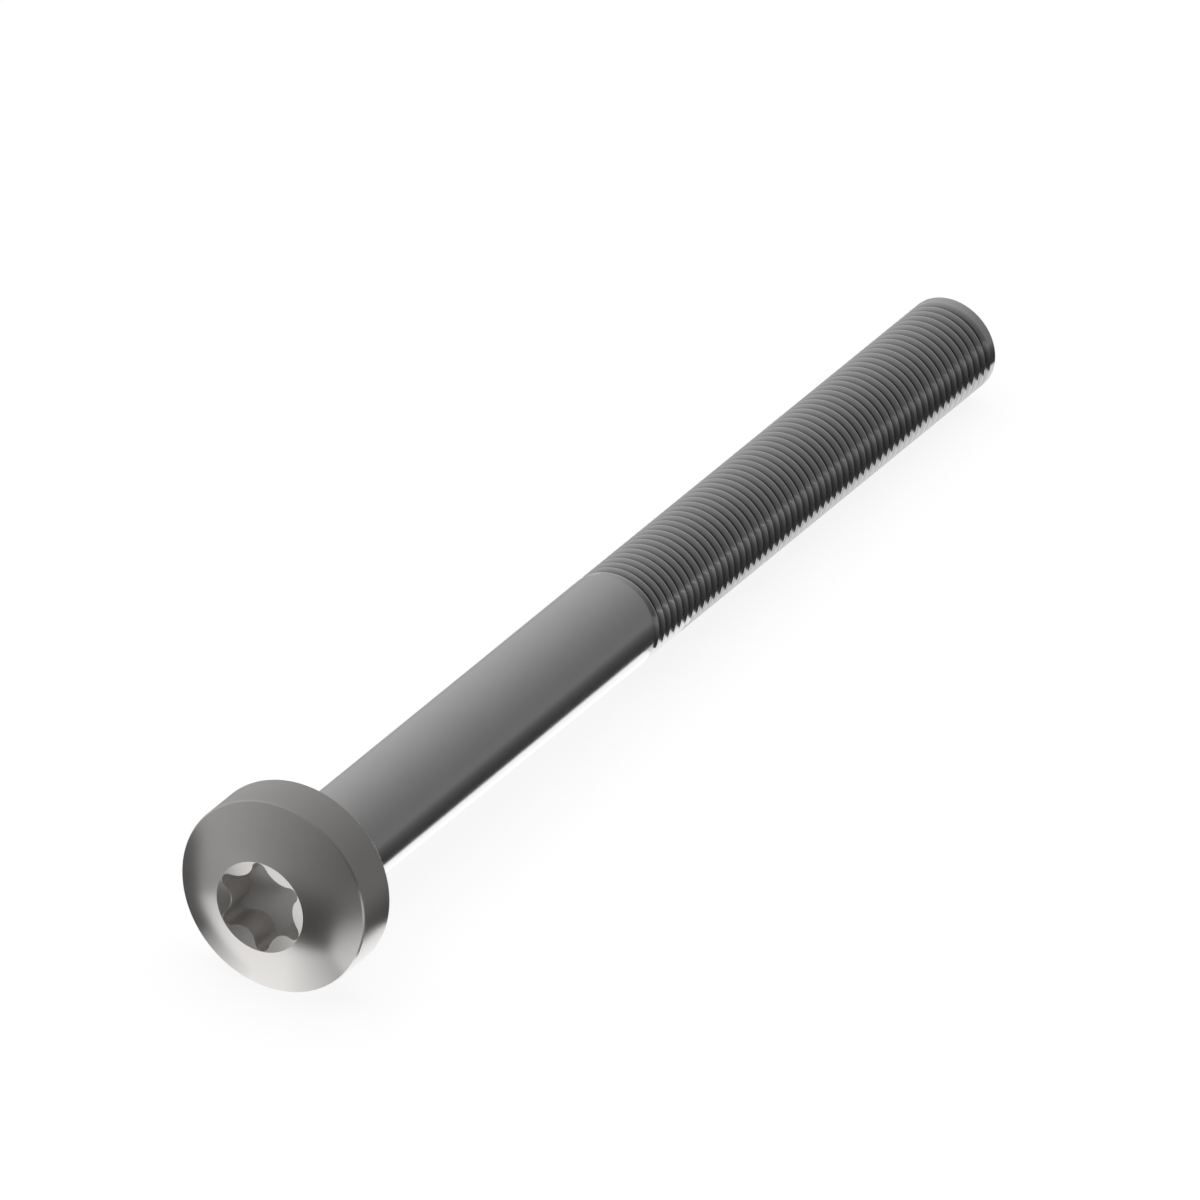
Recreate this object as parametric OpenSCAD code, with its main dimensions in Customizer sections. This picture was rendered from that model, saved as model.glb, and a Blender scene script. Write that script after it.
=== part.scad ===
// Pan head cap screw with a six-lobe drive recess and a part-threaded shank.
// It lies on its head's rim and its tip, with the shank falling towards the tip.
// Millimetres. The origin is on the surface that it lies on, below the middle of its length.

/* [Head] */
// Diameter of the head
head_d = 12; // [11:0.1:14]
// Height of the head's straight side above the bearing face
side_h = 2.9; // [2.6:0.05:3.3]
// Height that the dome would reach above the bearing face if it were whole
crown_h = 4.77; // [4.4:0.05:5.4]
// Size of the break on the edge of the bearing face and on the rim of the dome
rim_break = 0.08; // [0.03:0.01:0.2]
// Lean of the front break away from the head's axis
rim_lean = 30; // [20:1:45]

/* [Drive recess] */
// Diameter across the outer lobes
lobe_outer_d = 5.6; // [5.2:0.05:6]
// Diameter across the inner lobes
lobe_inner_d = 3.99; // [3.8:0.01:4.2]
// Radius of the tip of an outer lobe
lobe_tip_r = 0.45; // [0.35:0.01:0.5]
// Turn of the lobes about the screw's axis
lobe_turn = 3.5; // [0:0.5:59.5]
// Depth of the wall at the outer lobes, below the mouth
recess_depth = 2.17; // [1.8:0.01:2.4]
// Slope of the conical floor
floor_slope = 13.3; // [5:0.1:16]
// Slope of the countersunk mouth
mouth_slope = 15.5; // [8:0.1:25]
// Land between an outer lobe and the edge of the mouth
mouth_land = 0.03; // [0.02:0.01:0.2]

/* [Shank] */
// Length from the bearing face to the tip
length = 75; // [50:1:100]
// Length of the plain shank
plain_l = 35.3; // [20:0.1:44]
// Diameter of the plain shank
shank_d = 6; // [5.5:0.05:6.5]
// Step in radius from the plain shank down to the crests of the thread
crest_step = 0.015; // [0.01:0.005:0.1]
// Radius of the fillet under the head
fillet_r = 0.25; // [0.2:0.01:0.6]
// Size of the bevel on the tip
tip_bevel = 0.15; // [0.1:0.01:0.5]

/* [Pose] */
// Turn of the whole screw about its own axis as it lies, in whole lobes
lie_turn = 240; // [0:60:300]

/* [Hidden] */

// Facets of round surfaces, and the overlap of cuts and joined solids
$fn = 128;
overlap = 0.5;

head_r = head_d / 2;
shank_r = shank_d / 2;
crest_r = shank_r - crest_step;
outer_r = lobe_outer_d / 2;
inner_r = lobe_inner_d / 2;

// Sphere of the dome, through the rim at side_h and the crown
dome_rise = crown_h - side_h;
dome_r = (head_r * head_r + dome_rise * dome_rise) / (2 * dome_rise);

// Mouth of the recess, where its countersink meets the dome
mouth_r = outer_r + mouth_land;
mouth_z = crown_h - dome_r + sqrt(dome_r * dome_r - mouth_r * mouth_r);
countersink_z = mouth_z - mouth_r * tan(mouth_slope);
floor_z = mouth_z - recess_depth - outer_r * tan(floor_slope);
cut_top_z = crown_h + overlap;

// Centres of the lobe arcs, and the inner arc that meets the outer ones smoothly
lobes = 6;
lobe_pitch = 360 / lobes;
tip_centre_r = outer_r - lobe_tip_r;
waist_r = (tip_centre_r * tip_centre_r + inner_r * inner_r
    - 2 * tip_centre_r * inner_r * cos(lobe_pitch / 2) - lobe_tip_r * lobe_tip_r)
    / (2 * (lobe_tip_r - inner_r + tip_centre_r * cos(lobe_pitch / 2)));
waist_centre_r = inner_r + waist_r;

// Lying pose: the edge of the bearing face and the tip's bevel touch the surface
lie_run = length - tip_bevel - rim_break;
lie_angle = atan((head_r - crest_r) / lie_run);
bearing_h = head_r * cos(lie_angle) + rim_break * sin(lie_angle);
tip_r = crest_r - tip_bevel;
head_reach = mouth_z * cos(lie_angle) + mouth_r * sin(lie_angle);
tip_reach = length * cos(lie_angle) + tip_r * sin(lie_angle);
bearing_x = (head_reach - tip_reach) / 2;

// Point at a radius and an angle
function polar(r, a) = [r * cos(a), r * sin(a)];

// Outline of the recess: lobes at the tips of a star, cut at its waists by larger arcs
module lobe_outline() {
    difference() {
        union() {
            polygon([for (i = [0 : 2 * lobes - 1])
                polar(i % 2 == 0 ? tip_centre_r : waist_centre_r, i * lobe_pitch / 2)]);
            for (i = [0 : lobes - 1])
                translate(polar(tip_centre_r, i * lobe_pitch)) circle(r = lobe_tip_r);
        }
        for (i = [0 : lobes - 1])
            translate(polar(waist_centre_r, (i + 0.5) * lobe_pitch)) circle(r = waist_r);
    }
}

// Cone that opens upwards from its point at a slope from the level, up to a height
module open_cone(point_z, slope, top_z) {
    translate([0, 0, point_z])
        cylinder(r1 = 0, r2 = (top_z - point_z) / tan(slope), h = top_z - point_z);
}

// Recess: straight lobed walls down to the conical floor, and the countersunk mouth
module drive_recess() {
    intersection() {
        translate([0, 0, floor_z - overlap]) rotate([0, 0, lobe_turn])
            linear_extrude(height = cut_top_z - floor_z + overlap) lobe_outline();
        open_cone(floor_z, floor_slope, cut_top_z + overlap);
    }
    open_cone(countersink_z, mouth_slope, cut_top_z);
}

// Head: a turned blank with broken rims under a shallow sphere
module head() {
    intersection() {
        rotate_extrude() polygon([
            [0, 0],
            [head_r - rim_break, 0],
            [head_r, rim_break],
            [head_r, side_h - rim_break],
            [head_r - (dome_rise + rim_break) * tan(rim_lean), crown_h],
            [0, crown_h]
        ]);
        translate([0, 0, crown_h - dome_r]) sphere(r = dome_r);
    }
}

// Shank: the fillet under the head, the plain length, and the thread's blank with its bevel
module shank() {
    rotate_extrude() {
        translate([0, -plain_l]) square([shank_r, plain_l + overlap]);
        difference() {
            translate([0, -fillet_r]) square([shank_r + fillet_r, fillet_r]);
            translate([shank_r + fillet_r, -fillet_r]) circle(r = fillet_r);
        }
        polygon([
            [0, -length],
            [tip_r, -length],
            [crest_r, tip_bevel - length],
            [crest_r, -plain_l],
            [0, -plain_l]
        ]);
    }
}

// The whole screw, laid down with its head towards -X
module cap_screw() {
    color([0.6, 0.59, 0.58])
    translate([bearing_x, 0, bearing_h]) rotate([0, lie_angle - 90, 0])
    rotate([0, 0, lie_turn])
    difference() {
        union() {
            head();
            shank();
        }
        drive_recess();
    }
}

cap_screw();
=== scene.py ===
"""Looks of a pan head cap screw that lies on a pale studio floor.

Metres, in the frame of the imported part. The screw is turned upright about its own axis, with
its bearing face at the origin and its head upwards, and is laid down once it is whole. The cards
beside it are placed in millimetres.
"""

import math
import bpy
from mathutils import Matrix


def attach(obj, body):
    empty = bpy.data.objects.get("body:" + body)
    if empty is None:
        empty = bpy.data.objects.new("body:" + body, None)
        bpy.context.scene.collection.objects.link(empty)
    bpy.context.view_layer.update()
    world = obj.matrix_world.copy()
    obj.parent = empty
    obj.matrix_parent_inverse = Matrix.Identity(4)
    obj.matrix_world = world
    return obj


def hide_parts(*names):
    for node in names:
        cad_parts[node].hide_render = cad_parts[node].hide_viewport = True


bl_info = {
    "name": "Pan Head Cap Screw",
    "version": (1, 0, 0),
    "blender": (4, 5, 0),
    "location": "3D View > Sidebar > Cap Screw",
    "description": "Models a steel pan head screw with a six-lobe recess and a fine thread",
    "category": "Object",
}

import bmesh
import bpy
from mathutils import Matrix, Vector

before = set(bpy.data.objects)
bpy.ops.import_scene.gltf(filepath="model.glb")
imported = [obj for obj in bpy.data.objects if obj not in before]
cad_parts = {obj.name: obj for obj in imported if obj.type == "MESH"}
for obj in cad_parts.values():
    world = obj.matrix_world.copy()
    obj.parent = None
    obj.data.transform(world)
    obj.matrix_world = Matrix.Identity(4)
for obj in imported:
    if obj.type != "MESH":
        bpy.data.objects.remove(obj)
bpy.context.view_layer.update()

MM = 0.001
ORIGIN = (0.0, 0.0, 0.0)

# Sides of the head and the plain shank, sides of the thread, and lobes of the recess
SIDES = 192
THREAD_SIDES = 96
LOBES = 6

# Steps of the arcs over the dome and down the fillet
DOME_STEPS = 16
FILLET_STEPS = 6

# Distances of the rings that keep the shading of an edge beside that edge
MOUTH_HOLD = 0.02 * MM
RIM_HOLD = 0.03 * MM
SIDE_HOLD = 0.04 * MM
FACE_HOLD = 0.05 * MM

# Radii that differ by less are the same, and points of the thread that are nearer are one
SAME = 1e-9
WELD = 1e-6

# Faces that meet at a smaller angle are shaded as one surface
SMOOTH_ANGLE = math.radians(18.0)

# How the sidebar shows a length, an angle, a colour, a share and a roughness
LENGTH = {"subtype": "DISTANCE", "unit": "LENGTH", "precision": 6}
ANGLE = {"subtype": "ANGLE", "unit": "ROTATION"}
COLOUR = {"size": 3, "subtype": "COLOR", "min": 0.0, "max": 1.0}
SHARE = {"subtype": "FACTOR", "min": 0.02, "max": 0.4}
ROUGHNESS = {"subtype": "FACTOR", "min": 0.05, "max": 1.0}


class ScrewSizes(bpy.types.PropertyGroup):
    """Sizes of the screw, the same as in the part's source."""

    head_r: bpy.props.FloatProperty(
        name="Head radius",
        description="Radius of the head's straight side",
        default=6.0 * MM,
        **LENGTH,
    )
    side_h: bpy.props.FloatProperty(
        name="Side height",
        description="Height of the head's straight side above the bearing face",
        default=2.9 * MM,
        **LENGTH,
    )
    crown_h: bpy.props.FloatProperty(
        name="Crown height",
        description="Height that the dome would reach above the bearing face if it were whole",
        default=4.77 * MM,
        **LENGTH,
    )
    rim_break: bpy.props.FloatProperty(
        name="Rim break",
        description="Size of the break on both rims of the head",
        default=0.08 * MM,
        **LENGTH,
    )
    rim_lean: bpy.props.FloatProperty(
        name="Rim lean",
        description="Lean of the front break away from the axis",
        default=math.radians(30.0),
        **ANGLE,
    )
    lobe_outer_r: bpy.props.FloatProperty(
        name="Outer lobe radius",
        description="Reach of the recess's outer lobes",
        default=2.8 * MM,
        **LENGTH,
    )
    lobe_inner_r: bpy.props.FloatProperty(
        name="Inner lobe radius",
        description="Reach of the steel between two outer lobes",
        default=1.995 * MM,
        **LENGTH,
    )
    lobe_tip_r: bpy.props.FloatProperty(
        name="Lobe tip radius",
        description="Radius of the arc at the tip of an outer lobe",
        default=0.45 * MM,
        **LENGTH,
    )
    lobe_turn: bpy.props.FloatProperty(
        name="Lobe turn",
        description="Turn of the lobes about the screw's axis",
        default=math.radians(3.5),
        **ANGLE,
    )
    recess_depth: bpy.props.FloatProperty(
        name="Recess depth",
        description="Depth of the wall at the outer lobes, below the mouth",
        default=2.17 * MM,
        **LENGTH,
    )
    floor_slope: bpy.props.FloatProperty(
        name="Floor slope",
        description="Slope of the conical floor of the recess",
        default=math.radians(13.3),
        **ANGLE,
    )
    mouth_slope: bpy.props.FloatProperty(
        name="Mouth slope",
        description="Slope of the countersunk mouth of the recess",
        default=math.radians(15.5),
        **ANGLE,
    )
    mouth_land: bpy.props.FloatProperty(
        name="Mouth land",
        description="Land between an outer lobe and the edge of the mouth",
        default=0.03 * MM,
        **LENGTH,
    )
    length: bpy.props.FloatProperty(
        name="Length",
        description="Length from the bearing face to the tip",
        default=75.0 * MM,
        **LENGTH,
    )
    plain_l: bpy.props.FloatProperty(
        name="Plain length",
        description="Length of the plain shank below the head",
        default=35.3 * MM,
        **LENGTH,
    )
    shank_r: bpy.props.FloatProperty(
        name="Shank radius",
        description="Radius of the plain shank",
        default=3.0 * MM,
        **LENGTH,
    )
    crest_step: bpy.props.FloatProperty(
        name="Crest step",
        description="Step in radius from the plain shank down to the thread's crests",
        default=0.015 * MM,
        **LENGTH,
    )
    fillet_r: bpy.props.FloatProperty(
        name="Fillet radius",
        description="Radius of the fillet under the head",
        default=0.25 * MM,
        **LENGTH,
    )
    tip_bevel: bpy.props.FloatProperty(
        name="Tip bevel",
        description="Size of the bevel on the tip",
        default=0.15 * MM,
        **LENGTH,
    )


class ThreadSizes(bpy.types.PropertyGroup):
    """Sizes of the right-hand thread that is rolled on the shank."""

    pitch: bpy.props.FloatProperty(
        name="Pitch",
        description="Distance from one crest to the next along the axis",
        default=0.6625 * MM,
        **LENGTH,
    )
    depth: bpy.props.FloatProperty(
        name="Depth",
        description="Depth of the groove below the crests",
        default=0.4 * MM,
        **LENGTH,
    )
    crest_share: bpy.props.FloatProperty(
        name="Crest share",
        description="Share of the pitch that is the flat of a crest",
        default=0.11,
        **SHARE,
    )
    root_share: bpy.props.FloatProperty(
        name="Root share",
        description="Share of the pitch that is the bottom of the groove",
        default=0.18,
        **SHARE,
    )
    start_drop: bpy.props.FloatProperty(
        name="Start drop",
        description="Distance from the end of the plain shank to the start of the groove",
        default=0.07 * MM,
        **LENGTH,
    )
    start_turn: bpy.props.FloatProperty(
        name="Start turn",
        description="Angle about the axis at which the groove starts",
        default=math.radians(18.1),
        **ANGLE,
    )
    run_in: bpy.props.FloatProperty(
        name="Run in",
        description="Turns over which the groove gets its full depth",
        default=1.0,
        min=0.1,
    )
    run_out: bpy.props.FloatProperty(
        name="Run out",
        description="Turns over which the groove ends near the tip",
        default=0.5,
        min=0.1,
    )
    turns: bpy.props.FloatProperty(
        name="Turns",
        description="Turns of the groove from its start to its end",
        default=59.05,
        min=2.0,
    )


class SteelFinish(bpy.types.PropertyGroup):
    """Colours and finish of the steels."""

    # The warm tint of the head's colour is a painted reflection of warm light; head and shank are one
    # steel
    head_colour: bpy.props.FloatVectorProperty(
        name="Head colour",
        description="Colour of the headed steel",
        default=(0.575, 0.56, 0.548),
        **COLOUR,
    )
    shank_colour: bpy.props.FloatVectorProperty(
        name="Shank colour",
        description="Colour of the drawn and rolled steel",
        default=(0.655, 0.655, 0.655),
        **COLOUR,
    )
    # Painted shade: the colour that the thread's steel darkens to at the bottom of its groove
    groove_shade_colour: bpy.props.FloatVectorProperty(
        name="Groove colour",
        description="Colour of the steel at the bottom of the thread",
        default=(0.33, 0.33, 0.33),
        **COLOUR,
    )
    # Painted highlight: a lighter colour, with the head's painted warm tint, on the head's broken
    # edges and the thin bevel at the recess's mouth
    edge_highlight_colour: bpy.props.FloatVectorProperty(
        name="Worn colour",
        description="Colour of the bright steel on the head's broken edges",
        default=(0.68, 0.665, 0.65),
        **COLOUR,
    )
    # Painted highlight: a lighter colour on the thread's crests, standing in for their bright
    # reflections
    crest_highlight_colour: bpy.props.FloatVectorProperty(
        name="Crest colour",
        description="Colour of the bright steel on the thread's crests",
        default=(0.85, 0.85, 0.85),
        **COLOUR,
    )
    # The warm tint here is the same painted reflection of warm light as on the head
    recess_colour: bpy.props.FloatVectorProperty(
        name="Recess colour",
        description="Colour of the pressed steel inside the recess",
        default=(0.765, 0.748, 0.73),
        **COLOUR,
    )
    head_roughness: bpy.props.FloatProperty(
        name="Head roughness",
        description="Middle roughness of the head's steel",
        default=0.3,
        **ROUGHNESS,
    )
    shank_roughness: bpy.props.FloatProperty(
        name="Shank roughness",
        description="Middle roughness of the shank's steel",
        default=0.17,
        **ROUGHNESS,
    )
    recess_roughness: bpy.props.FloatProperty(
        name="Recess roughness",
        description="Middle roughness of the steel inside the recess",
        default=0.52,
        **ROUGHNESS,
    )
    thread_roughness: bpy.props.FloatProperty(
        name="Thread roughness",
        description="Middle roughness of the rolled thread's steel",
        default=0.14,
        **ROUGHNESS,
    )
    marks: bpy.props.FloatProperty(
        name="Turning marks",
        description="Strength of the fine turning marks",
        default=0.25,
        min=0.0,
        max=1.0,
        subtype="FACTOR",
    )


class StudioSizes(bpy.types.PropertyGroup):
    """The studio that the screw is seen in."""

    azimuth: bpy.props.FloatProperty(
        name="Azimuth",
        description="Direction of the camera about the vertical",
        default=math.radians(-150.043),
        **ANGLE,
    )
    elevation: bpy.props.FloatProperty(
        name="Elevation",
        description="Height of the camera's direction above the floor",
        default=math.radians(30.61),
        **ANGLE,
    )
    lens: bpy.props.FloatProperty(
        name="Lens",
        description="Focal length of the camera's lens, in millimetres",
        default=1650.0,
        min=1.0,
    )
    frame_width: bpy.props.FloatProperty(
        name="Frame width",
        description="Width that the camera sees at the screw",
        default=68.1 * MM,
        **LENGTH,
    )
    aim: bpy.props.FloatVectorProperty(
        name="Aim",
        description="Point at the middle of the camera's frame",
        default=(-19.876 * MM, -10.86 * MM, 19.485 * MM),
        size=3,
        subtype="TRANSLATION",
        unit="LENGTH",
        precision=6,
    )
    floor_white: bpy.props.FloatProperty(
        name="Floor white",
        description="Share of plain white in the floor that is seen, over its shadow",
        default=0.88,
        min=0.0,
        max=1.0,
        subtype="FACTOR",
    )
    world_level: bpy.props.FloatProperty(
        name="World level",
        description="Brightness of the studio's walls, level with the screw",
        default=0.395,
        min=0.0,
    )
    world_slope: bpy.props.FloatProperty(
        name="World slope",
        description="How much brighter the far walls are than the middle",
        default=0.29,
        min=0.0,
    )
    world_side: bpy.props.FloatProperty(
        name="World side",
        description="How much brighter the walls past the tip are than the middle",
        default=0.06,
        min=0.0,
    )
    lamp_power: bpy.props.FloatProperty(
        name="Lamp power",
        description="Power of the soft lamp overhead, in watts",
        default=11.0,
        min=0.0,
    )
    lamp_size: bpy.props.FloatProperty(
        name="Lamp size",
        description="Width of the soft lamp",
        default=1.2,
        **LENGTH,
    )
    lamp_height: bpy.props.FloatProperty(
        name="Lamp height",
        description="Height of the soft lamp above the floor",
        default=0.9,
        **LENGTH,
    )


def only(piece):
    """Makes one object the only selected one and the active one."""
    bpy.ops.object.select_all(action="DESELECT")
    piece.select_set(True)
    bpy.context.view_layer.objects.active = piece


def edit(piece):
    """Opens an object in edit mode with nothing in it selected."""
    only(piece)
    bpy.ops.object.mode_set(mode="EDIT")
    bpy.ops.mesh.select_mode(type="VERT")
    bpy.ops.mesh.select_all(action="DESELECT")


def done():
    """Leaves edit mode."""
    bpy.ops.object.mode_set(mode="OBJECT")


def open_mesh(piece):
    """Gives the mesh that is being edited, with fresh tables."""
    mesh = bmesh.from_edit_mesh(piece.data)
    mesh.verts.ensure_lookup_table()
    return mesh


def select_ring(piece, radius, height, slack=2e-7):
    """Selects the ring of vertices at a radius and a height."""
    bpy.ops.mesh.select_all(action="DESELECT")
    mesh = open_mesh(piece)
    for v in mesh.verts:
        away = math.hypot(v.co.x, v.co.y) - radius
        v.select = abs(away) < slack and abs(v.co.z - height) < slack
    mesh.select_flush(True)
    bmesh.update_edit_mesh(piece.data)


def next_ring(radius, height, new_radius, new_height):
    """Extrudes the selected ring to a new radius and height."""
    bpy.ops.mesh.extrude_region_move(
        TRANSFORM_OT_translate={"value": (0.0, 0.0, new_height - height)}
    )
    if abs(new_radius - radius) > SAME:
        grow = new_radius / radius
        bpy.ops.transform.resize(value=(grow, grow, 1.0), center_override=ORIGIN)


def run_rings(start, rings):
    """Extrudes the selected ring through a list of radii and heights."""
    radius, height = start
    for new_radius, new_height in rings:
        next_ring(radius, height, new_radius, new_height)
        radius, height = new_radius, new_height


def arc_rings(centre, radius, first, last, steps):
    """Lists the rings on an arc of the profile, without its first point."""
    rings = []
    for i in range(1, steps + 1):
        a = first + (last - first) * i / steps
        rings.append((centre[0] + radius * math.cos(a), centre[1] + radius * math.sin(a)))
    return rings


def head_heights(s):
    """Works out the dome, the mouth and the recess from the head's sizes."""
    rise = s.crown_h - s.side_h
    dome_r = (s.head_r**2 + rise**2) / (2 * rise)
    dome_z = s.crown_h - dome_r
    mouth_r = s.lobe_outer_r + s.mouth_land
    mouth_z = dome_z + math.sqrt(dome_r**2 - mouth_r**2)
    floor_z = mouth_z - s.recess_depth - s.lobe_outer_r * math.tan(s.floor_slope)
    cone_z = mouth_z - mouth_r * math.tan(s.mouth_slope)
    lean = math.tan(s.rim_lean)
    low = s.side_h - s.rim_break

    # The front break rises by t from the head's side before it meets the dome's sphere
    a = 1 + lean**2
    b = 2 * (low - dome_z) - 2 * s.head_r * lean
    c = s.head_r**2 + (low - dome_z) ** 2 - dome_r**2
    t = (-b + math.sqrt(b * b - 4 * a * c)) / (2 * a)
    return {
        "dome_r": dome_r,
        "dome_z": dome_z,
        "mouth_r": mouth_r,
        "mouth_z": mouth_z,
        "floor_z": floor_z,
        "cone_z": cone_z,
        "rim": (s.head_r - t * lean, low + t),
    }


def crest_radius(s):
    """Gives the radius of the thread's crests."""
    return s.shank_r - s.crest_step


def lying_angle(s):
    """Works out how far the axis falls towards the tip as the screw lies."""
    run = s.length - s.tip_bevel - s.rim_break
    return math.atan((s.head_r - crest_radius(s)) / run)


def lobe_reach(s, angle):
    """Gives the reach of the recess's outline at an angle from the middle of a lobe."""
    pitch = 2 * math.pi / LOBES
    a = abs((angle + pitch / 2) % pitch - pitch / 2)
    tip = s.lobe_outer_r - s.lobe_tip_r
    half = math.cos(pitch / 2)
    waist_r = (
        tip**2 + s.lobe_inner_r**2 - 2 * tip * s.lobe_inner_r * half - s.lobe_tip_r**2
    ) / (2 * (s.lobe_tip_r - s.lobe_inner_r + tip * half))
    waist = s.lobe_inner_r + waist_r
    join = Vector((tip, 0.0)).lerp(
        Vector((waist * half, waist * math.sin(pitch / 2))),
        s.lobe_tip_r / (s.lobe_tip_r + waist_r),
    )
    if a < math.atan2(join.y, join.x):
        side = tip * math.sin(a)
        return tip * math.cos(a) + math.sqrt(s.lobe_tip_r**2 - side**2)
    off = pitch / 2 - a
    side = waist * math.sin(off)
    return waist * math.cos(off) - math.sqrt(waist_r**2 - side**2)


class SCREW_OT_head(bpy.types.Operator):
    """Turn the head, its recess and the plain shank from rings about the axis"""

    bl_idname = "cap_screw.head"
    bl_label = "Turn the Head and Plain Shank"

    def execute(self, context):
        s = context.scene.screw_sizes
        h = head_heights(s)
        bpy.ops.object.select_all(action="DESELECT")
        bpy.ops.mesh.primitive_circle_add(
            vertices=SIDES, radius=h["mouth_r"], location=(0.0, 0.0, h["mouth_z"])
        )
        piece = context.active_object
        piece.name = "cap_screw_body"
        bpy.ops.object.transform_apply(location=True, rotation=True, scale=True)
        edit(piece)
        select_ring(piece, h["mouth_r"], h["mouth_z"])
        self.press_recess(piece, s, h)
        select_ring(piece, h["mouth_r"], h["mouth_z"])
        run_rings((h["mouth_r"], h["mouth_z"]), self.outside(s, h))
        done()
        return {"FINISHED"}

    def outside(self, s, h):
        """Lists the rings from the mouth over the dome and down the shank."""
        first = math.acos(h["mouth_r"] / h["dome_r"])
        last = math.acos(h["rim"][0] / h["dome_r"])
        dome = arc_rings((0.0, h["dome_z"]), h["dome_r"], first, last, DOME_STEPS)
        mouth = h["mouth_r"] + MOUTH_HOLD
        inner = h["rim"][0] - RIM_HOLD
        side_top = s.side_h - s.rim_break
        front_bulge = 0.012 * MM
        back_bulge = 0.3 * s.rim_break
        face_r = s.head_r - s.rim_break
        corner_r = s.shank_r + s.fillet_r
        corner = (corner_r, -s.fillet_r)
        fillet = arc_rings(corner, s.fillet_r, math.pi / 2, math.pi, FILLET_STEPS)
        return [
            (mouth, self.dome_height(h, mouth)),
            *dome[:-1],
            (inner, self.dome_height(h, inner)),
            h["rim"],
            (s.head_r - front_bulge, side_top + RIM_HOLD),
            (s.head_r, side_top),
            (s.head_r, side_top - SIDE_HOLD),
            (s.head_r, s.rim_break + SIDE_HOLD),
            (s.head_r, s.rim_break),
            (s.head_r - back_bulge, back_bulge),
            (face_r, 0.0),
            (face_r - FACE_HOLD, 0.0),
            (corner_r + RIM_HOLD, 0.0),
            (corner_r, 0.0),
            *fillet,
            (s.shank_r, -s.fillet_r - FACE_HOLD),
            (s.shank_r, -s.plain_l + FACE_HOLD),
            (s.shank_r, -s.plain_l),
        ]

    def dome_height(self, h, radius):
        """Gives the height of the dome at a radius."""
        return h["dome_z"] + math.sqrt(h["dome_r"] ** 2 - radius**2)

    def press_recess(self, piece, s, h):
        """Sinks the countersunk mouth, the lobed walls and the conical floor."""
        cone = math.tan(s.mouth_slope)
        floor = math.tan(s.floor_slope)
        hold = MOUTH_HOLD
        floor_shares = (0.97, 0.66, 0.33)
        self.sink(piece, s, lambda r: (r + hold, h["cone_z"] + (r + hold) * cone))
        self.sink(piece, s, lambda r: (r, h["cone_z"] + r * cone - hold))
        self.sink(piece, s, lambda r: (r, h["floor_z"] + r * floor + RIM_HOLD))
        self.sink(piece, s, lambda r: (r, h["floor_z"] + r * floor))
        for share in floor_shares:
            self.sink(piece, s, lambda r: (r * share, h["floor_z"] + r * share * floor))
        bpy.ops.mesh.extrude_region_move()
        bpy.ops.mesh.merge(type="CENTER")
        mesh = open_mesh(piece)
        for v in mesh.verts:
            if v.select:
                v.co = (0.0, 0.0, h["floor_z"])
        bmesh.update_edit_mesh(piece.data)

    def sink(self, piece, s, place):
        """Extrudes the selected ring and sets it on the outline of the lobes."""
        bpy.ops.mesh.extrude_region_move()
        mesh = open_mesh(piece)
        for v in mesh.verts:
            if v.select:
                a = math.atan2(v.co.y, v.co.x)
                radius, height = place(lobe_reach(s, a - s.lobe_turn))
                v.co = (radius * math.cos(a), radius * math.sin(a), height)
        bmesh.update_edit_mesh(piece.data)


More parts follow.
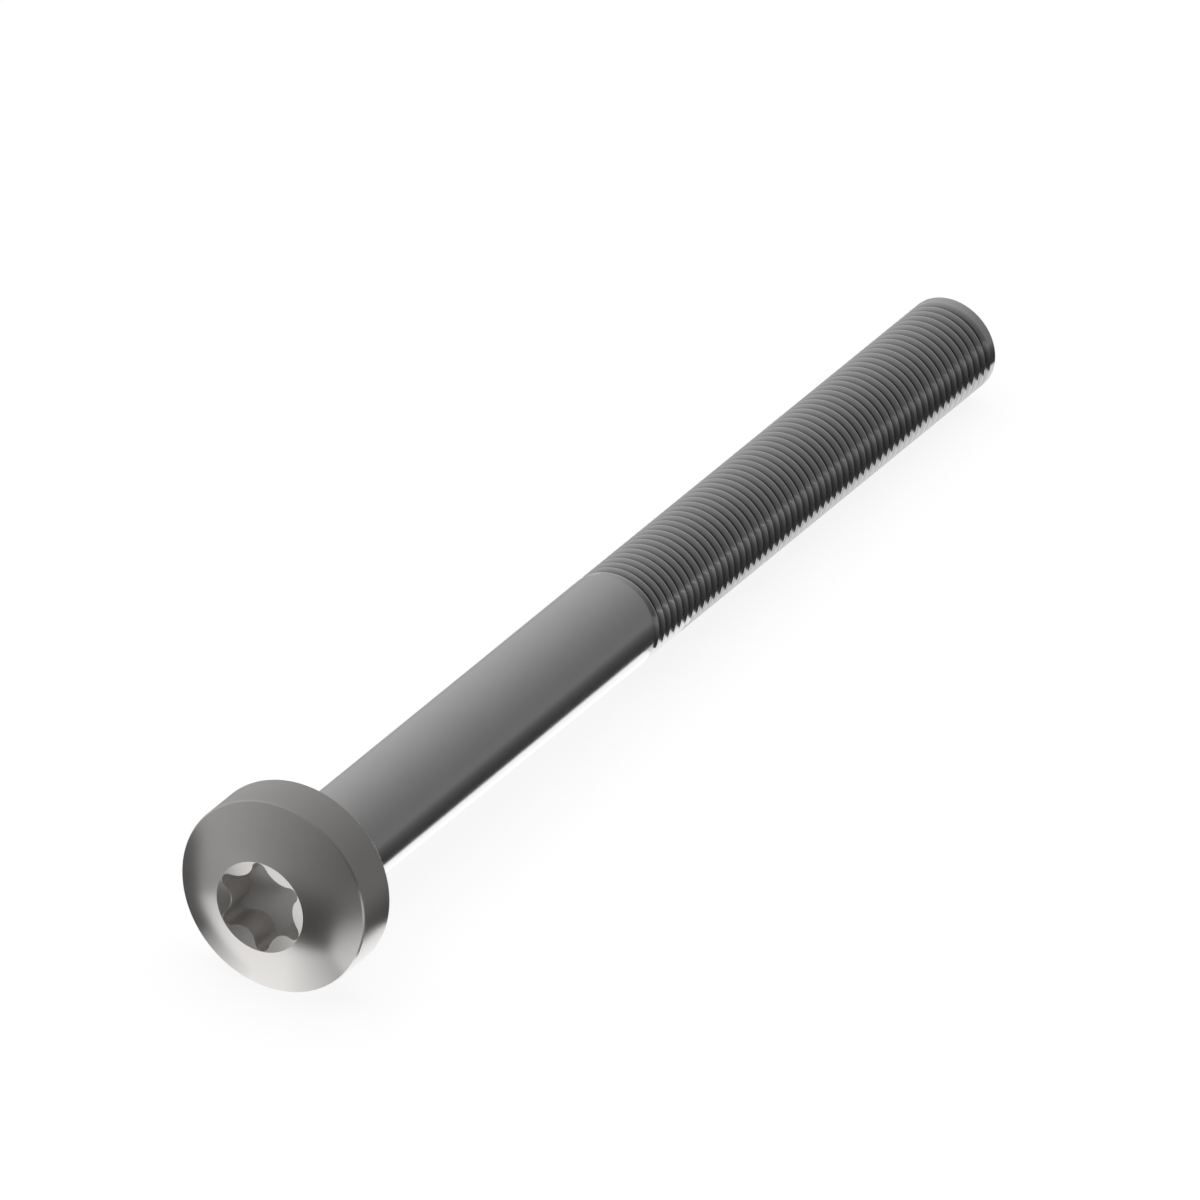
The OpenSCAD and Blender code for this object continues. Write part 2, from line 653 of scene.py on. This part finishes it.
class SCREW_OT_thread(bpy.types.Operator):
    """Roll the thread from one groove, repeated by Array and turned by Screw"""

    bl_idname = "cap_screw.thread"
    bl_label = "Roll the Thread"

    # Pitches that are wound beyond each end and trimmed off
    spare = 2

    def execute(self, context):
        s = context.scene.screw_sizes
        t = context.scene.thread_sizes
        crest_r = crest_radius(s)
        groove_z = -s.plain_l - t.start_drop - t.pitch * t.start_turn / (2 * math.pi)
        bpy.ops.object.select_all(action="DESELECT")
        bpy.ops.mesh.primitive_plane_add(size=t.pitch, location=(crest_r, 0.0, 0.0))
        piece = context.active_object
        piece.name = "cap_screw_thread"
        bpy.ops.object.transform_apply(location=True, rotation=True, scale=True)
        self.cut_profile(piece, t, crest_r, groove_z + self.spare * t.pitch)
        self.wind(piece, s, t)
        self.fade(piece, s, t, crest_r)
        self.trim(piece, s)
        return {"FINISHED"}

    def cut_profile(self, piece, t, crest_r, groove_z):
        """Draws one pitch of the groove as a line of points, from its depths and heights."""
        half = t.pitch / 2
        crest = t.crest_share * half
        root = t.root_share * half
        crest_flat = 0.8 * crest
        root_flat = 0.5 * root
        crest_round = (0.012 * MM, 0.005 * MM)
        root_round = (0.05 * MM, 0.03 * MM)
        upper = [
            (0.0, half),
            (0.0, half - crest_flat),
            (crest_round[0], half - crest - crest_round[1]),
            (t.depth - root_round[0], root + root_round[1]),
            (t.depth, root_flat),
        ]
        points = upper + [(deep, -high) for deep, high in reversed(upper)]
        edit(piece)
        bpy.ops.mesh.select_all(action="SELECT")
        bpy.ops.mesh.merge(type="CENTER")
        mesh = open_mesh(piece)
        mesh.verts[0].co = (crest_r, 0.0, groove_z + half)
        mesh.verts[0].select = True
        bmesh.update_edit_mesh(piece.data)
        deep, high = points[0]
        for new_deep, new_high in points[1:]:
            step = (deep - new_deep, 0.0, new_high - high)
            bpy.ops.mesh.extrude_region_move(TRANSFORM_OT_translate={"value": step})
            deep, high = new_deep, new_high
        done()

    def wind(self, piece, s, t):
        """Repeats the groove along the axis and turns it about the axis."""
        only(piece)
        array = piece.modifiers.new("Pitches", "ARRAY")
        array.use_relative_offset = False
        array.use_constant_offset = True
        array.constant_offset_displace = (0.0, 0.0, -t.pitch)
        array.count = math.ceil((s.length - s.plain_l) / t.pitch) + 2 * self.spare
        array.use_merge_vertices = True
        array.merge_threshold = WELD
        bpy.ops.object.modifier_apply(modifier=array.name)
        screw = piece.modifiers.new("Winding", "SCREW")
        screw.axis = "Z"
        screw.angle = 2 * math.pi
        screw.screw_offset = t.pitch
        screw.steps = THREAD_SIDES
        screw.render_steps = THREAD_SIDES
        screw.use_merge_vertices = False
        bpy.ops.object.modifier_apply(modifier=screw.name)
        edit(piece)
        bpy.ops.mesh.select_all(action="SELECT")
        bpy.ops.mesh.remove_doubles(threshold=2 * WELD)
        bpy.ops.mesh.select_all(action="SELECT")
        bpy.ops.mesh.normals_make_consistent(inside=False)
        done()

    def fade(self, piece, s, t, crest_r):
        """Lets the groove run in at its start and run out near the tip, and notes its depth."""
        full = 2 * math.pi
        run_in_power = 0.8
        start_z = -s.plain_l - t.start_drop
        # The depth noted here is also the mask of the painted groove shade
        groove = piece.data.attributes.new("groove", "FLOAT", "POINT")
        for v in piece.data.vertices:
            radius = math.hypot(v.co.x, v.co.y)
            past = ((t.start_turn - math.atan2(v.co.y, v.co.x)) % full) / full
            place = (start_z - v.co.z) / t.pitch - past
            turn = round(place) + past
            fresh = min(max(turn / t.run_in, 0.0), 1.0)
            left = min(max((t.turns - turn) / t.run_out, 0.0), 1.0)
            keep = fresh**run_in_power * left * left * (3 - 2 * left)
            new_radius = crest_r - (crest_r - radius) * keep
            groove.data[v.index].value = (crest_r - new_radius) / t.depth
            v.co.x *= new_radius / radius
            v.co.y *= new_radius / radius

    def trim(self, piece, s):
        """Cuts the winding level at both ends."""
        edit(piece)
        bpy.ops.mesh.select_all(action="SELECT")
        bpy.ops.mesh.bisect(
            plane_co=(0.0, 0.0, -s.plain_l - s.crest_step),
            plane_no=(0.0, 0.0, 1.0),
            clear_outer=True,
            threshold=1e-7,
        )
        bpy.ops.mesh.select_all(action="SELECT")
        bpy.ops.mesh.bisect(
            plane_co=(0.0, 0.0, s.tip_bevel - s.length),
            plane_no=(0.0, 0.0, 1.0),
            clear_inner=True,
            threshold=1e-7,
        )
        done()


class SCREW_OT_assemble(bpy.types.Operator):
    """Join the thread to the shank, close the tip and lay the screw down"""

    bl_idname = "cap_screw.assemble"
    bl_label = "Join and Lay Down"

    def execute(self, context):
        s = context.scene.screw_sizes
        body = bpy.data.objects["cap_screw_body"]
        thread = bpy.data.objects["cap_screw_thread"]
        bpy.ops.object.select_all(action="DESELECT")
        thread.select_set(True)
        body.select_set(True)
        context.view_layer.objects.active = body
        bpy.ops.object.join()
        self.bridge(body, s)
        self.close_tip(body, s)
        edit(body)
        bpy.ops.mesh.select_all(action="SELECT")
        bpy.ops.mesh.normals_make_consistent(inside=False)
        done()
        bpy.ops.object.shade_smooth_by_angle(angle=SMOOTH_ANGLE)
        self.mark_steels(body, s)
        self.lay(body, s)
        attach(body, "root")
        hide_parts("cap_screw")
        return {"FINISHED"}

    def open_edges(self, piece, height, slack):
        """Selects the open edges that are level at a height."""
        bpy.ops.mesh.select_all(action="DESELECT")
        bpy.ops.mesh.select_mode(type="EDGE")
        mesh = open_mesh(piece)
        mesh.edges.ensure_lookup_table()
        found = 0
        for e in mesh.edges:
            level = all(abs(v.co.z - height) < slack for v in e.verts)
            if e.is_boundary and level:
                e.select = True
                found += 1
        bmesh.update_edit_mesh(piece.data)
        if not found:
            raise RuntimeError(f"no open ring at {height}")

    def bridge(self, body, s):
        """Closes the small step from the plain shank to the thread."""
        edit(body)
        middle = -s.plain_l - s.crest_step / 2
        self.open_edges(body, middle, s.crest_step)
        bpy.ops.mesh.bridge_edge_loops()
        done()

    def close_tip(self, body, s):
        """Extrudes the bevel of the tip and fills its end."""
        edit(body)
        self.open_edges(body, s.tip_bevel - s.length, WELD)
        crest_r = crest_radius(s)
        share = (crest_r - s.tip_bevel) / crest_r
        end_share = 0.97
        bpy.ops.mesh.extrude_region_move(
            TRANSFORM_OT_translate={"value": (0.0, 0.0, -s.tip_bevel)}
        )
        bpy.ops.transform.resize(value=(share, share, 1.0), center_override=ORIGIN)
        bpy.ops.mesh.extrude_region_move()
        bpy.ops.transform.resize(value=(end_share, end_share, 1.0), center_override=ORIGIN)
        bpy.ops.mesh.extrude_region_move()
        bpy.ops.mesh.merge(type="CENTER")
        done()

    def mark_steels(self, body, s):
        """Gives each face the steel of its place."""
        h = head_heights(s)
        # The thread's crests and the head's broken edges get steels with a painted highlight
        steels = ("headed", "drawn", "rolled", "crest", "edge_highlight", "pressed")
        body.data.materials.clear()
        for name in steels:
            body.data.materials.append(bpy.data.materials[f"{name}_steel"])
        for face in body.data.polygons:
            face.material_index = steels.index(self.steel_at(s, h, face.center))

    def steel_at(self, s, h, place):
        """Names the steel at a place on the screw."""
        radius = math.hypot(place.x, place.y)
        crest_low = crest_radius(s) - 0.004 * MM
        crest_end = 1.0 * MM - s.length
        fillet_end = -0.9 * s.fillet_r
        wall_drop = 0.015 * MM
        edge_drop = 0.003 * MM
        # The crests below get the steel with the painted highlight
        if place.z < -s.plain_l:
            return "crest" if radius > crest_low and place.z > crest_end else "rolled"
        if place.z < fillet_end:
            return "drawn"
        above_cone = place.z - h["cone_z"] - radius * math.tan(s.mouth_slope)
        if radius < h["mouth_r"] and above_cone < -wall_drop:
            return "pressed"
        # The thin bevel at the mouth's edge gets the steel with the painted highlight
        if radius < h["mouth_r"] and above_cone < -edge_drop:
            return "edge_highlight"
        # The head's two rim breaks get the steel with the painted highlight
        side_top = s.side_h - s.rim_break
        if side_top < place.z < h["rim"][1] and radius > h["rim"][0]:
            return "edge_highlight"
        if radius > s.head_r - s.rim_break and place.z < s.rim_break:
            return "edge_highlight"
        return "headed"

    def lay(self, body, s):
        """Lays the screw on its head's rim and its tip, as in the part's source."""
        h = head_heights(s)
        angle = lying_angle(s)
        height = s.head_r * math.cos(angle) + s.rim_break * math.sin(angle)
        head_reach = h["mouth_z"] * math.cos(angle) + h["mouth_r"] * math.sin(angle)
        tip_r = crest_radius(s) - s.tip_bevel
        tip_reach = s.length * math.cos(angle) + tip_r * math.sin(angle)
        only(body)
        body.rotation_euler = (0.0, angle - math.pi / 2, 0.0)
        body.location = ((head_reach - tip_reach) / 2, 0.0, height)
        bpy.ops.object.transform_apply(location=True, rotation=True, scale=True)


def new_node(tree, kind, place, **values):
    """Adds a node, sets its values and places it on the sheet."""
    node = tree.nodes.new(kind)
    node.location = place
    for key, value in values.items():
        setattr(node, key, value)
    return node


def fine_turning_group(angle):
    """Builds the turning marks about an axis that falls by an angle, and the faint clouds."""
    group = bpy.data.node_groups.new("fine_turning", "ShaderNodeTree")
    side = group.interface
    side.new_socket("Colour", in_out="INPUT", socket_type="NodeSocketColor")
    side.new_socket("Roughness", in_out="INPUT", socket_type="NodeSocketFloat")
    side.new_socket("Marks", in_out="INPUT", socket_type="NodeSocketFloat")
    side.new_socket("Colour", in_out="OUTPUT", socket_type="NodeSocketColor")
    side.new_socket("Roughness", in_out="OUTPUT", socket_type="NodeSocketFloat")
    side.new_socket("Normal", in_out="OUTPUT", socket_type="NodeSocketVector")
    inside = new_node(group, "NodeGroupInput", (-1200, 0))
    out = new_node(group, "NodeGroupOutput", (700, 0))
    place = new_node(group, "ShaderNodeTexCoord", (-1200, -300))
    turned = new_node(group, "ShaderNodeMapping", (-1000, -300))
    turned.inputs["Rotation"].default_value = (0.0, angle, 0.0)
    turned.inputs["Scale"].default_value = (9000.0, 260.0, 260.0)
    lines = new_node(group, "ShaderNodeTexNoise", (-780, -300))
    lines.inputs["Scale"].default_value = 1.0
    lines.inputs["Detail"].default_value = 3.0
    clouds = new_node(group, "ShaderNodeTexNoise", (-780, 60))
    clouds.inputs["Scale"].default_value = 260.0
    clouds.inputs["Detail"].default_value = 4.0
    shade = new_node(group, "ShaderNodeMapRange", (-520, 160))
    shade.inputs["To Min"].default_value = 0.97
    shade.inputs["To Max"].default_value = 1.03
    tint = new_node(group, "ShaderNodeMix", (-280, 160), data_type="RGBA", blend_type="MULTIPLY")
    tint.inputs["Factor"].default_value = 1.0
    rough = new_node(group, "ShaderNodeMapRange", (-520, -80))
    rough.inputs["To Min"].default_value = 0.9
    rough.inputs["To Max"].default_value = 1.1
    times = new_node(group, "ShaderNodeMath", (-280, -80), operation="MULTIPLY")
    bump = new_node(group, "ShaderNodeBump", (300, -300))
    bump.inputs["Distance"].default_value = 0.002 * MM
    link = group.links.new
    link(place.outputs["Object"], turned.inputs["Vector"])
    link(turned.outputs["Vector"], lines.inputs["Vector"])
    link(place.outputs["Object"], clouds.inputs["Vector"])
    link(clouds.outputs["Fac"], shade.inputs["Value"])
    link(clouds.outputs["Fac"], rough.inputs["Value"])
    link(inside.outputs["Colour"], tint.inputs["A"])
    link(shade.outputs["Result"], tint.inputs["B"])
    link(inside.outputs["Roughness"], times.inputs[0])
    link(rough.outputs["Result"], times.inputs[1])
    link(lines.outputs["Fac"], bump.inputs["Height"])
    link(inside.outputs["Marks"], bump.inputs["Strength"])
    link(tint.outputs["Result"], out.inputs["Colour"])
    link(times.outputs["Value"], out.inputs["Roughness"])
    link(bump.outputs["Normal"], out.inputs["Normal"])
    return group


def steel(name, colour, roughness, marks):
    """Makes a steel with the shared turning marks."""
    material = bpy.data.materials.new(name)
    material.use_nodes = True
    tree = material.node_tree
    shader = tree.nodes["Principled BSDF"]
    shader.inputs["Metallic"].default_value = 1.0
    marked = new_node(tree, "ShaderNodeGroup", (-300, 200))
    marked.name = "turning"
    marked.node_tree = bpy.data.node_groups["fine_turning"]
    marked.inputs["Colour"].default_value = (*colour, 1.0)
    marked.inputs["Roughness"].default_value = roughness
    marked.inputs["Marks"].default_value = marks
    tree.links.new(marked.outputs["Colour"], shader.inputs["Base Color"])
    tree.links.new(marked.outputs["Roughness"], shader.inputs["Roughness"])
    tree.links.new(marked.outputs["Normal"], shader.inputs["Normal"])
    material.diffuse_color = (*colour, 1.0)
    return material


def paint_groove_shade(material, colour, groove_shade_colour):
    """Paints shade into the steel, darker towards the bottom of the thread's groove."""
    tree = material.node_tree
    marked = tree.nodes["turning"]
    depth = new_node(tree, "ShaderNodeAttribute", (-1000, 300), attribute_name="groove")
    start = new_node(tree, "ShaderNodeMapRange", (-800, 300), interpolation_type="SMOOTHSTEP")
    start.inputs["From Min"].default_value = 0.02
    start.inputs["From Max"].default_value = 0.7
    mix = new_node(tree, "ShaderNodeMix", (-560, 300), data_type="RGBA")
    mix.inputs["A"].default_value = (*colour, 1.0)
    mix.inputs["B"].default_value = (*groove_shade_colour, 1.0)
    tree.links.new(depth.outputs["Fac"], start.inputs["Value"])
    tree.links.new(start.outputs["Result"], mix.inputs["Factor"])
    tree.links.new(mix.outputs["Result"], marked.inputs["Colour"])


class SCREW_OT_steel(bpy.types.Operator):
    """Make the steels of the head, the recess, the edges with a painted highlight, the shank and the
    thread
    """

    bl_idname = "cap_screw.steel"
    bl_label = "Make the Steels"

    def execute(self, context):
        f = context.scene.steel_finish
        fine_turning_group(lying_angle(context.scene.screw_sizes))
        steel("headed_steel", f.head_colour, f.head_roughness, f.marks)
        steel("drawn_steel", f.shank_colour, f.shank_roughness, f.marks)
        rolled = steel("rolled_steel", f.shank_colour, f.thread_roughness, f.marks)
        # Painted shade, darker towards the bottom of the thread's groove
        paint_groove_shade(rolled, f.shank_colour, f.groove_shade_colour)
        # Painted highlight on the thread's crests
        steel("crest_steel", f.crest_highlight_colour, f.thread_roughness, f.marks)
        # Painted highlight on the head's broken edges and the mouth's bevel
        steel("edge_highlight_steel", f.edge_highlight_colour, f.head_roughness, f.marks)
        steel("pressed_steel", f.recess_colour, f.recess_roughness, f.marks)
        return {"FINISHED"}


def card_grey(name, axis, first, last):
    """Makes a card's grey, which runs from one place on an axis to another, in millimetres."""
    material = bpy.data.materials.new(name)
    material.use_nodes = True
    tree = material.node_tree
    tree.nodes.clear()
    out = new_node(tree, "ShaderNodeOutputMaterial", (500, 0))
    glow = new_node(tree, "ShaderNodeEmission", (250, 0))
    place = new_node(tree, "ShaderNodeTexCoord", (-500, 0))
    split = new_node(tree, "ShaderNodeSeparateXYZ", (-250, 0))
    run = new_node(tree, "ShaderNodeMapRange", (0, 0))
    run.inputs["From Min"].default_value = first[0] * MM
    run.inputs["From Max"].default_value = last[0] * MM
    run.inputs["To Min"].default_value = first[1]
    run.inputs["To Max"].default_value = last[1]
    tree.links.new(place.outputs["Object"], split.inputs["Vector"])
    tree.links.new(split.outputs[axis], run.inputs["Value"])
    tree.links.new(run.outputs["Result"], glow.inputs["Strength"])
    tree.links.new(glow.outputs["Emission"], out.inputs["Surface"])
    return material


def flat_card(name, material, height, corners):
    """Cuts a card from a circle with as many sides. Its height and corners are millimetres."""
    bpy.ops.object.select_all(action="DESELECT")
    bpy.ops.mesh.primitive_circle_add(
        vertices=len(corners), radius=1.0, fill_type="NGON", location=ORIGIN
    )
    card = bpy.context.active_object
    card.name = name
    loop = card.data.polygons[0].vertices
    for i, (x, y) in zip(loop, corners):
        card.data.vertices[i].co = (x * MM, y * MM, height * MM)
    card.data.materials.append(material)
    return card


class SCREW_OT_studio(bpy.types.Operator):
    """Set the floor, the cards, the lamp, the walls and the camera"""

    bl_idname = "cap_screw.studio"
    bl_label = "Set the Studio"

    def execute(self, context):
        u = context.scene.studio_sizes
        self.lay_floor(u)
        self.lay_cards()
        self.hang_lamp(context, u)
        self.light_walls(context, u)
        self.set_camera(context, u)
        return {"FINISHED"}

    def lay_floor(self, u):
        """A pale floor that the camera and the metal see as white, and that keeps the shadow."""
        bpy.ops.object.select_all(action="DESELECT")
        bpy.ops.mesh.primitive_plane_add(size=8.0, location=(0.0, 0.0, 0.0))
        floor = bpy.context.active_object
        floor.name = "studio_floor"
        material = bpy.data.materials.new("pale_floor")
        material.use_nodes = True
        tree = material.node_tree
        tree.nodes.clear()
        out = new_node(tree, "ShaderNodeOutputMaterial", (600, 0))
        path = new_node(tree, "ShaderNodeLightPath", (-600, 300))
        seen = new_node(tree, "ShaderNodeMath", (-400, 300), operation="MAXIMUM")
        any_view = new_node(tree, "ShaderNodeMath", (-200, 300), operation="MAXIMUM")
        share = new_node(tree, "ShaderNodeMath", (0, 300), operation="MULTIPLY")
        share.inputs[1].default_value = u.floor_white
        pale = new_node(tree, "ShaderNodeBsdfDiffuse", (0, 0))
        pale.inputs["Color"].default_value = (0.9, 0.9, 0.9, 1.0)
        white = new_node(tree, "ShaderNodeEmission", (0, -200))
        both = new_node(tree, "ShaderNodeMixShader", (300, 0))
        link = tree.links.new
        link(path.outputs["Is Camera Ray"], seen.inputs[0])
        link(path.outputs["Is Glossy Ray"], seen.inputs[1])
        link(seen.outputs["Value"], any_view.inputs[0])
        link(path.outputs["Is Transmission Ray"], any_view.inputs[1])
        link(any_view.outputs["Value"], share.inputs[0])
        link(share.outputs["Value"], both.inputs["Fac"])
        link(pale.outputs["BSDF"], both.inputs[1])
        link(white.outputs["Emission"], both.inputs[2])
        link(both.outputs["Shader"], out.inputs["Surface"])
        floor.data.materials.append(material)

    def lay_cards(self):
        """Glowing cards low beside the screw, dark and bright, which only its reflections see; they
        paint the reflections in the steel.
        """
        far = 4000.0

        # Heights of the cards, as some lie over others
        low = 0.1
        middle = 0.2
        high = 0.3

        # Each grey runs from a place and its brightness to another
        near = card_grey("near_card_grey", "Y", (-6.0, 0.04), (-21.0, 0.21))
        front = card_grey("front_card_grey", "X", (-45.0, 0.05), (-130.0, 0.24))
        corner = card_grey("corner_card_grey", "X", (-41.0, 0.95), (-52.0, 0.2))
        shade = card_grey("shade_card_grey", "Y", (-4.8, 0.6), (-0.8, 1.3))
        back = card_grey("far_card_grey", "Y", (12.0, 0.4), (40.0, 0.5))
        head = card_grey("head_card_grey", "Y", (1.5, 1.25), (7.5, 0.1))
        light = card_grey("light_card_grey", "Y", (3.0, 1.3), (12.0, 1.0))
        thread = card_grey("thread_card_grey", "Y", (-4.4, 0.85), (12.5, 0.85))

        # Edge that the corner card and the front card share
        edge = [(-far, -900.0), (-72.0, -17.5), (-52.0, -10.5), (-45.5, -6.8), (-42.5, -5.2)]
        corner_rest = [(-far, -far), (-38.5, -far), (-38.5, -5.2)]
        front_rest = [(-44.5, 0.0), (-47.0, 3.0), (-50.0, 8.0), (-70.0, 16.0), (-far, 600.0)]
        near_part = [(-27.0, -far), (far, -far), (far, -4.4), (-27.0, -4.4)]
        side_part = [(-38.5, -far), (-27.0, -far), (-27.0, -4.4), (-31.0, -7.6), (-38.5, -7.6)]
        shade_part = [(-42.5, -5.2), (-38.2, -5.2), (-38.2, -0.8), (-44.2, -0.8)]
        far_part = [(-far, 600.0), (-70.0, 18.0), (-50.0, 12.5), (far, 12.5), (far, far), (-far, far)]
        head_part = [(-39.3, 1.5), (-33.5, 1.5), (-33.5, 24.0), (-30.0, 60.0)]
        head_part += [(-56.0, 60.0), (-44.0, 22.0), (-41.0, 12.0), (-40.0, 6.0)]
        thread_part = [(3.5, -4.4), (60.0, -4.4), (60.0, 12.5), (3.5, 12.5)]
        light_part = [(-80.0, -30.0), (far, -30.0), (far, 30.0), (-80.0, 30.0)]
        cards = [
            flat_card("near_card", near, middle, near_part),
            flat_card("side_card", near, middle, side_part),
            flat_card("corner_card", corner, middle, corner_rest + edge[::-1]),
            flat_card("front_card", front, middle, edge + front_rest),
            flat_card("shade_card", shade, middle, shade_part),
            flat_card("far_card", back, middle, far_part),
            flat_card("head_card", head, high, head_part),
            flat_card("thread_card", thread, middle, thread_part),
            flat_card("light_card", light, low, light_part),
        ]
        for card in cards:
            card.visible_camera = False
            card.visible_diffuse = False
            card.visible_shadow = False

    def hang_lamp(self, context, u):
        """A soft lamp straight overhead."""
        light = bpy.data.lights.new("overhead_softbox", "AREA")
        light.shape = "SQUARE"
        light.size = u.lamp_size
        light.energy = u.lamp_power
        lamp = bpy.data.objects.new("overhead_softbox", light)
        lamp.location = (0.0, 0.0, u.lamp_height)
        lamp.visible_glossy = False
        context.scene.collection.objects.link(lamp)

    def light_walls(self, context, u):
        """Grey studio walls for the reflections, and a white background for the camera."""
        world = bpy.data.worlds.new("studio_walls")
        world.use_nodes = True
        context.scene.world = world
        tree = world.node_tree
        tree.nodes.clear()
        out = new_node(tree, "ShaderNodeOutputWorld", (700, 0))
        place = new_node(tree, "ShaderNodeTexCoord", (-900, 0))
        split = new_node(tree, "ShaderNodeSeparateXYZ", (-700, 0))
        level = new_node(tree, "ShaderNodeMath", (-450, 0), operation="MULTIPLY_ADD")
        level.inputs[1].default_value = u.world_slope
        level.inputs[2].default_value = u.world_level
        ends = new_node(tree, "ShaderNodeMath", (-230, 0), operation="MULTIPLY_ADD")
        ends.inputs[1].default_value = u.world_side
        walls = new_node(tree, "ShaderNodeBackground", (0, 0))
        white = new_node(tree, "ShaderNodeBackground", (0, -200))
        white.inputs["Color"].default_value = (1.0, 1.0, 1.0, 1.0)
        path = new_node(tree, "ShaderNodeLightPath", (0, 400))
        both = new_node(tree, "ShaderNodeMixShader", (400, 0))
        link = tree.links.new
        link(place.outputs["Generated"], split.inputs["Vector"])
        link(split.outputs["Y"], level.inputs[0])
        link(split.outputs["X"], ends.inputs[0])
        link(level.outputs["Value"], ends.inputs[2])
        link(ends.outputs["Value"], walls.inputs["Strength"])
        link(path.outputs["Is Camera Ray"], both.inputs["Fac"])
        link(walls.outputs["Background"], both.inputs[1])
        link(white.outputs["Background"], both.inputs[2])
        link(both.outputs["Shader"], out.inputs["Surface"])

    def set_camera(self, context, u):
        """A long lens from the photograph's side, so that lines stay nearly parallel."""
        back = Vector(
            (
                math.cos(u.elevation) * math.cos(u.azimuth),
                math.cos(u.elevation) * math.sin(u.azimuth),
                math.sin(u.elevation),
            )
        )
        right = Vector((0.0, 0.0, 1.0)).cross(back).normalized()
        up = back.cross(right)
        data = bpy.data.cameras.new("photo_camera")
        data.sensor_width = 36.0
        data.lens = u.lens
        data.clip_start = 0.1
        data.clip_end = 20.0
        camera = bpy.data.objects.new("photo_camera", data)
        distance = u.lens * u.frame_width / data.sensor_width
        turn = Matrix((right, up, back)).transposed().to_4x4()
        camera.matrix_world = Matrix.Translation(Vector(u.aim) + back * distance) @ turn
        context.scene.collection.objects.link(camera)
        context.scene.camera = camera
        context.scene.view_settings.view_transform = "Standard"


class SCREW_PT_steps(bpy.types.Panel):
    """The steps that model the screw, in order"""

    bl_label = "Cap Screw"
    bl_idname = "SCREW_PT_steps"
    bl_space_type = "VIEW_3D"
    bl_region_type = "UI"
    bl_category = "Cap Screw"

    def draw(self, context):
        layout = self.layout
        for step in STEPS:
            layout.operator(step.bl_idname)
        for group in ("screw_sizes", "thread_sizes", "steel_finish", "studio_sizes"):
            box = layout.box()
            values = getattr(context.scene, group)
            for name in values.bl_rna.properties.keys():
                if name not in ("rna_type", "name"):
                    box.prop(values, name)


STEPS = (SCREW_OT_steel, SCREW_OT_head, SCREW_OT_thread, SCREW_OT_assemble, SCREW_OT_studio)
GROUPS = {
    "screw_sizes": ScrewSizes,
    "thread_sizes": ThreadSizes,
    "steel_finish": SteelFinish,
    "studio_sizes": StudioSizes,
}


def register():
    for group in GROUPS.values():
        bpy.utils.register_class(group)
    for name, group in GROUPS.items():
        setattr(bpy.types.Scene, name, bpy.props.PointerProperty(type=group))
    for step in STEPS:
        bpy.utils.register_class(step)
    bpy.utils.register_class(SCREW_PT_steps)


def unregister():
    bpy.utils.unregister_class(SCREW_PT_steps)
    for step in reversed(STEPS):
        bpy.utils.unregister_class(step)
    for name in GROUPS:
        delattr(bpy.types.Scene, name)
    for group in reversed(list(GROUPS.values())):
        bpy.utils.unregister_class(group)


def main():
    register()
    bpy.ops.cap_screw.steel()
    bpy.ops.cap_screw.head()
    bpy.ops.cap_screw.thread()
    bpy.ops.cap_screw.assemble()
    bpy.ops.cap_screw.studio()


if __name__ == "__main__":
    main()
